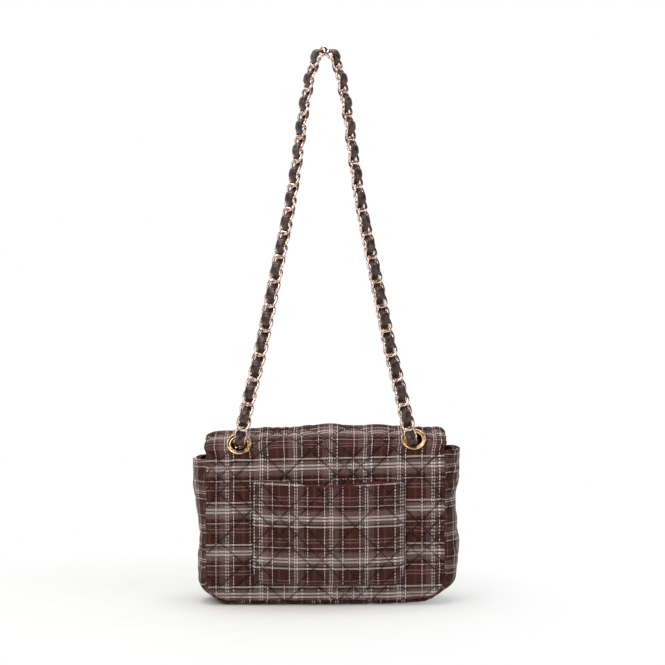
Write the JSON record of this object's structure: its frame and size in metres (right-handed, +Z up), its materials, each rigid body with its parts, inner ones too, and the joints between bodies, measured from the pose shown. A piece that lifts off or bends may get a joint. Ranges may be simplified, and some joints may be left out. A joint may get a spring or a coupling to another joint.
{
  "type": "quilted flap bag",
  "caption": "Small quilted tartan flap bag with a back slip pocket, eyelets and a chain strap laced with leather.",
  "frame": {"origin": "centre of the flat base, midway between the outermost back and the closed flap's front", "axes": "+Z up through the strap, +Y towards the front flap, +X to the right as seen from the back"},
  "size_m": [0.2332, 0.0837, 0.4934],
  "materials": {
    "quilted_tartan": "woven wool tartan, padded and quilted",
    "wine_lining": "plain woven lining",
    "brown_leather": "dark brown, softly glossy",
    "rose_gold": "pale rose gold plate, polished",
    "yellow_gold": "yellow gold plate, polished",
    "board": "stiffening board"
  },
  "bodies": {
    "bag": {"back_panel": "quilted_tartan", "back_pocket": "quilted_tartan", "back_pocket_lining": "wine_lining", "back_lining": "wine_lining", "front_panel": "quilted_tartan", "front_lining": "wine_lining", "left_gusset": "quilted_tartan", "right_gusset": "quilted_tartan", "base_gusset": "quilted_tartan", "left_gusset_lining": "wine_lining", "right_gusset_lining": "wine_lining", "base_board": "board", "base_lining": "wine_lining", "left_eyelet": "yellow_gold", "right_eyelet": "yellow_gold", "left_eyelet_washer": "yellow_gold", "right_eyelet_washer": "yellow_gold", "left_chain_tail": "rose_gold", "right_chain_tail": "rose_gold", "left_lace_tail": "brown_leather", "right_lace_tail": "brown_leather", "left_anchor_ring": "yellow_gold", "right_anchor_ring": "yellow_gold", "left_anchor_tab": "brown_leather", "right_anchor_tab": "brown_leather", "left_inner_tab_rivet": "yellow_gold", "left_outer_tab_rivet": "yellow_gold", "right_inner_tab_rivet": "yellow_gold", "right_outer_tab_rivet": "yellow_gold", "snap_socket": "yellow_gold"},
    "flap_top": {"flap_top_panel": "quilted_tartan", "flap_top_lining": "wine_lining"},
    "flap_front": {"flap_front_panel": "quilted_tartan", "flap_front_lining": "wine_lining", "snap_stud": "yellow_gold"},
    "strap_lower": {"left_lower_chain": "rose_gold", "right_lower_chain": "rose_gold", "left_lower_lace": "brown_leather", "right_lower_lace": "brown_leather"},
    "strap_middle": {"left_middle_chain": "rose_gold", "right_middle_chain": "rose_gold", "left_middle_lace": "brown_leather", "right_middle_lace": "brown_leather"},
    "strap_upper": {"upper_chain": "rose_gold", "upper_lace": "brown_leather"}
  },
  "joints": [
    {"name": "flap_open", "type": "hinge", "parent": "bag", "child": "flap_top", "pos_m": [0, -0.01875, 0.15498], "axis": [1, 0, 0], "range_deg": [0, 100]},
    {"name": "flap_front_bend", "type": "hinge", "parent": "flap_top", "child": "flap_front", "pos_m": [0, 0.02652, 0.14902], "axis": [1, 0, 0], "range_deg": [0, 60]},
    {"name": "strap_swing", "type": "hinge", "parent": "bag", "child": "strap_lower", "pos_m": [0, -0.03672, 0.15565], "axis": [1, 0, 0], "range_deg": [0, 75]},
    {"name": "strap_bend_lower", "type": "hinge", "parent": "strap_lower", "child": "strap_middle", "pos_m": [0, -0.03535, 0.22101], "axis": [1, 0, 0], "range_deg": [0, 25]},
    {"name": "strap_bend_upper", "type": "hinge", "parent": "strap_middle", "child": "strap_upper", "pos_m": [0, -0.03354, 0.30732], "axis": [1, 0, 0], "range_deg": [0, 35]}
  ],
  "couplings": [
    {"joint": "flap_front_bend", "follows": "flap_open", "ratio": 0.6}
  ]
}
